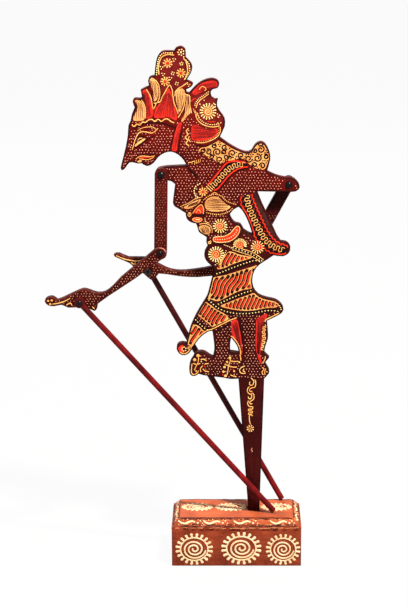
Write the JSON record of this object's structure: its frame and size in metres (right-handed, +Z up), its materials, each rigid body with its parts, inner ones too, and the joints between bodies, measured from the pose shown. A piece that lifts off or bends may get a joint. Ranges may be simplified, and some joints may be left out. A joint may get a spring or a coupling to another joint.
{
  "type": "wayang puppet on a display plinth",
  "caption": "Flat carved wooden wayang puppet on a stake set in a block plinth, with jointed arms that are raised by thin hand rods.",
  "frame": {"origin": "middle of the plinth's bottom face", "axes": "+Z up, the figure faces -X and its pictured front faces -Y"},
  "size_m": [0.2015, 0.056, 0.4123],
  "materials": {
    "plinth_wood": "stained and waxed, with painted ornament",
    "figure_paint": "dark red-brown paint with dotted and drawn ornament, satin",
    "arm_paint": "dark red-brown paint with fine dots, satin",
    "rod_paint": "dark red stain, satin",
    "black_steel": "black oxide, semi-gloss",
    "zinc_steel": "zinc plated",
    "fibre": "pressed fibre"
  },
  "bodies": {
    "stand": {"plinth": "plinth_wood"},
    "puppet": {"figure_board": "figure_paint", "near_shoulder_screw": "black_steel", "near_shoulder_spacer": "fibre", "near_shoulder_nut": "zinc_steel", "near_shoulder_washer": "zinc_steel", "far_shoulder_screw": "black_steel", "far_shoulder_spacer": "fibre", "far_shoulder_nut": "zinc_steel", "far_shoulder_washer": "zinc_steel"},
    "near_upper_arm": {"near_upper_arm": "arm_paint", "near_elbow_screw": "black_steel", "near_elbow_spacer": "fibre", "near_elbow_nut": "zinc_steel"},
    "near_forearm": {"near_forearm": "arm_paint", "near_hand_screw": "black_steel", "near_hand_spacer": "fibre", "near_hand_nut": "zinc_steel"},
    "near_rod": {"near_rod": "rod_paint"},
    "far_upper_arm": {"far_upper_arm": "arm_paint", "far_elbow_screw": "black_steel", "far_elbow_spacer": "fibre", "far_elbow_nut": "zinc_steel"},
    "far_forearm": {"far_forearm": "arm_paint", "far_hand_screw": "black_steel", "far_hand_spacer": "fibre", "far_hand_nut": "zinc_steel"},
    "far_rod": {"far_rod": "rod_paint"}
  },
  "joints": [
    {"name": "puppet_lift", "type": "slide", "parent": "stand", "child": "puppet", "axis": [0, 0, 1], "range_m": [0, 0.04]},
    {"name": "near_shoulder", "type": "hinge", "parent": "puppet", "child": "near_upper_arm", "pos_m": [-0.058, 0, 0.3145], "axis": [0, 1, 0], "range_deg": [0, 50]},
    {"name": "near_elbow", "type": "hinge", "parent": "near_upper_arm", "child": "near_forearm", "pos_m": [-0.05906, 0, 0.25401], "axis": [0, 1, 0], "range_deg": [-50, 0]},
    {"name": "near_rod_pivot", "type": "hinge", "parent": "near_forearm", "child": "near_rod", "pos_m": [-0.12186, 0, 0.21581], "axis": [0, 1, 0], "range_deg": [-50, 0]},
    {"name": "far_shoulder", "type": "hinge", "parent": "puppet", "child": "far_upper_arm", "pos_m": [0.0405, 0, 0.3055], "axis": [0, 1, 0], "range_deg": [0, 50]},
    {"name": "far_elbow", "type": "hinge", "parent": "far_upper_arm", "child": "far_forearm", "pos_m": [0.00304, 0, 0.23651], "axis": [0, 1, 0], "range_deg": [-50, 0]},
    {"name": "far_rod_pivot", "type": "hinge", "parent": "far_forearm", "child": "far_rod", "pos_m": [-0.06996, 0, 0.23301], "axis": [0, 1, 0], "range_deg": [-50, 0]}
  ],
  "couplings": [
    {"joint": "near_rod_pivot", "follows": "near_shoulder", "ratio": -1},
    {"joint": "far_rod_pivot", "follows": "far_shoulder", "ratio": -1}
  ]
}
